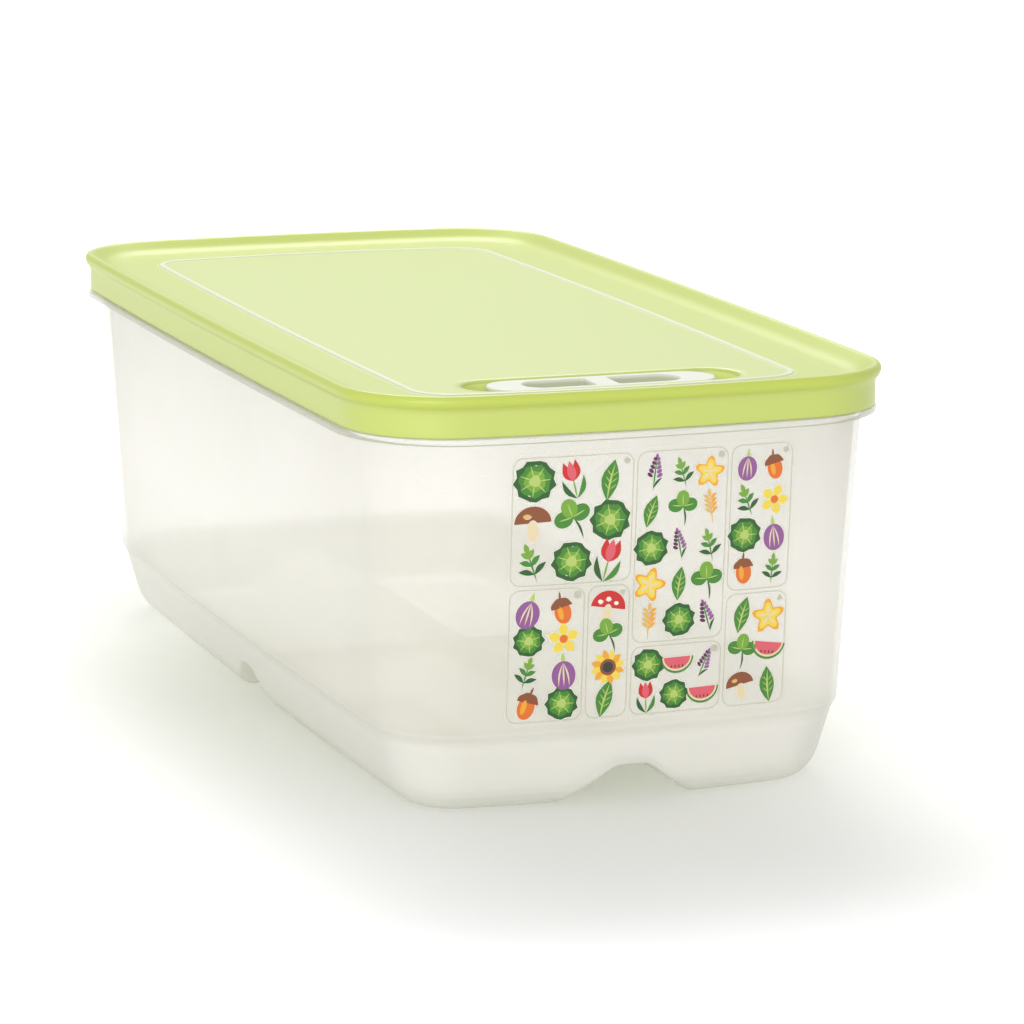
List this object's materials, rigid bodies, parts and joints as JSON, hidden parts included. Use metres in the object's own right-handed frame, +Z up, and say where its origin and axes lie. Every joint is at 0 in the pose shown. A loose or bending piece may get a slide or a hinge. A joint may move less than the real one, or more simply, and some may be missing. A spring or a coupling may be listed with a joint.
{
  "type": "produce keeper",
  "caption": "Long see-through fridge box for fruit and vegetables, on four hollow feet, with a soft lift-off lid and a sliding vent near one end.",
  "frame": {"origin": "middle of the base, on the surface the keeper stands on", "axes": "+Z up; the long way along Y, with the charted end wall and the vent at -Y; the short way along X"},
  "size_m": [0.18, 0.361, 0.132],
  "materials": {
    "tub_plastic": "frosted see-through polypropylene",
    "chart_print": "thin printed transfer film",
    "lid_plastic": "soft lime green plastic, satin",
    "vent_plastic": "off-white plastic, satin"
  },
  "bodies": {
    "tub_body": {"tub": "tub_plastic", "chart_film": "chart_print"},
    "lid_body": {"lid": "lid_plastic"},
    "vent_body": {"vent_slider": "vent_plastic", "vent_shutter": "vent_plastic"}
  },
  "joints": [
    {"name": "lid_lift", "type": "slide", "parent": "tub_body", "child": "lid_body", "axis": [0, 0, 1], "range_m": [0, 0.08]},
    {"name": "vent_slide", "type": "slide", "parent": "lid_body", "child": "vent_body", "axis": [1, 0, 0], "range_m": [-0.0075, 0.0075]}
  ]
}
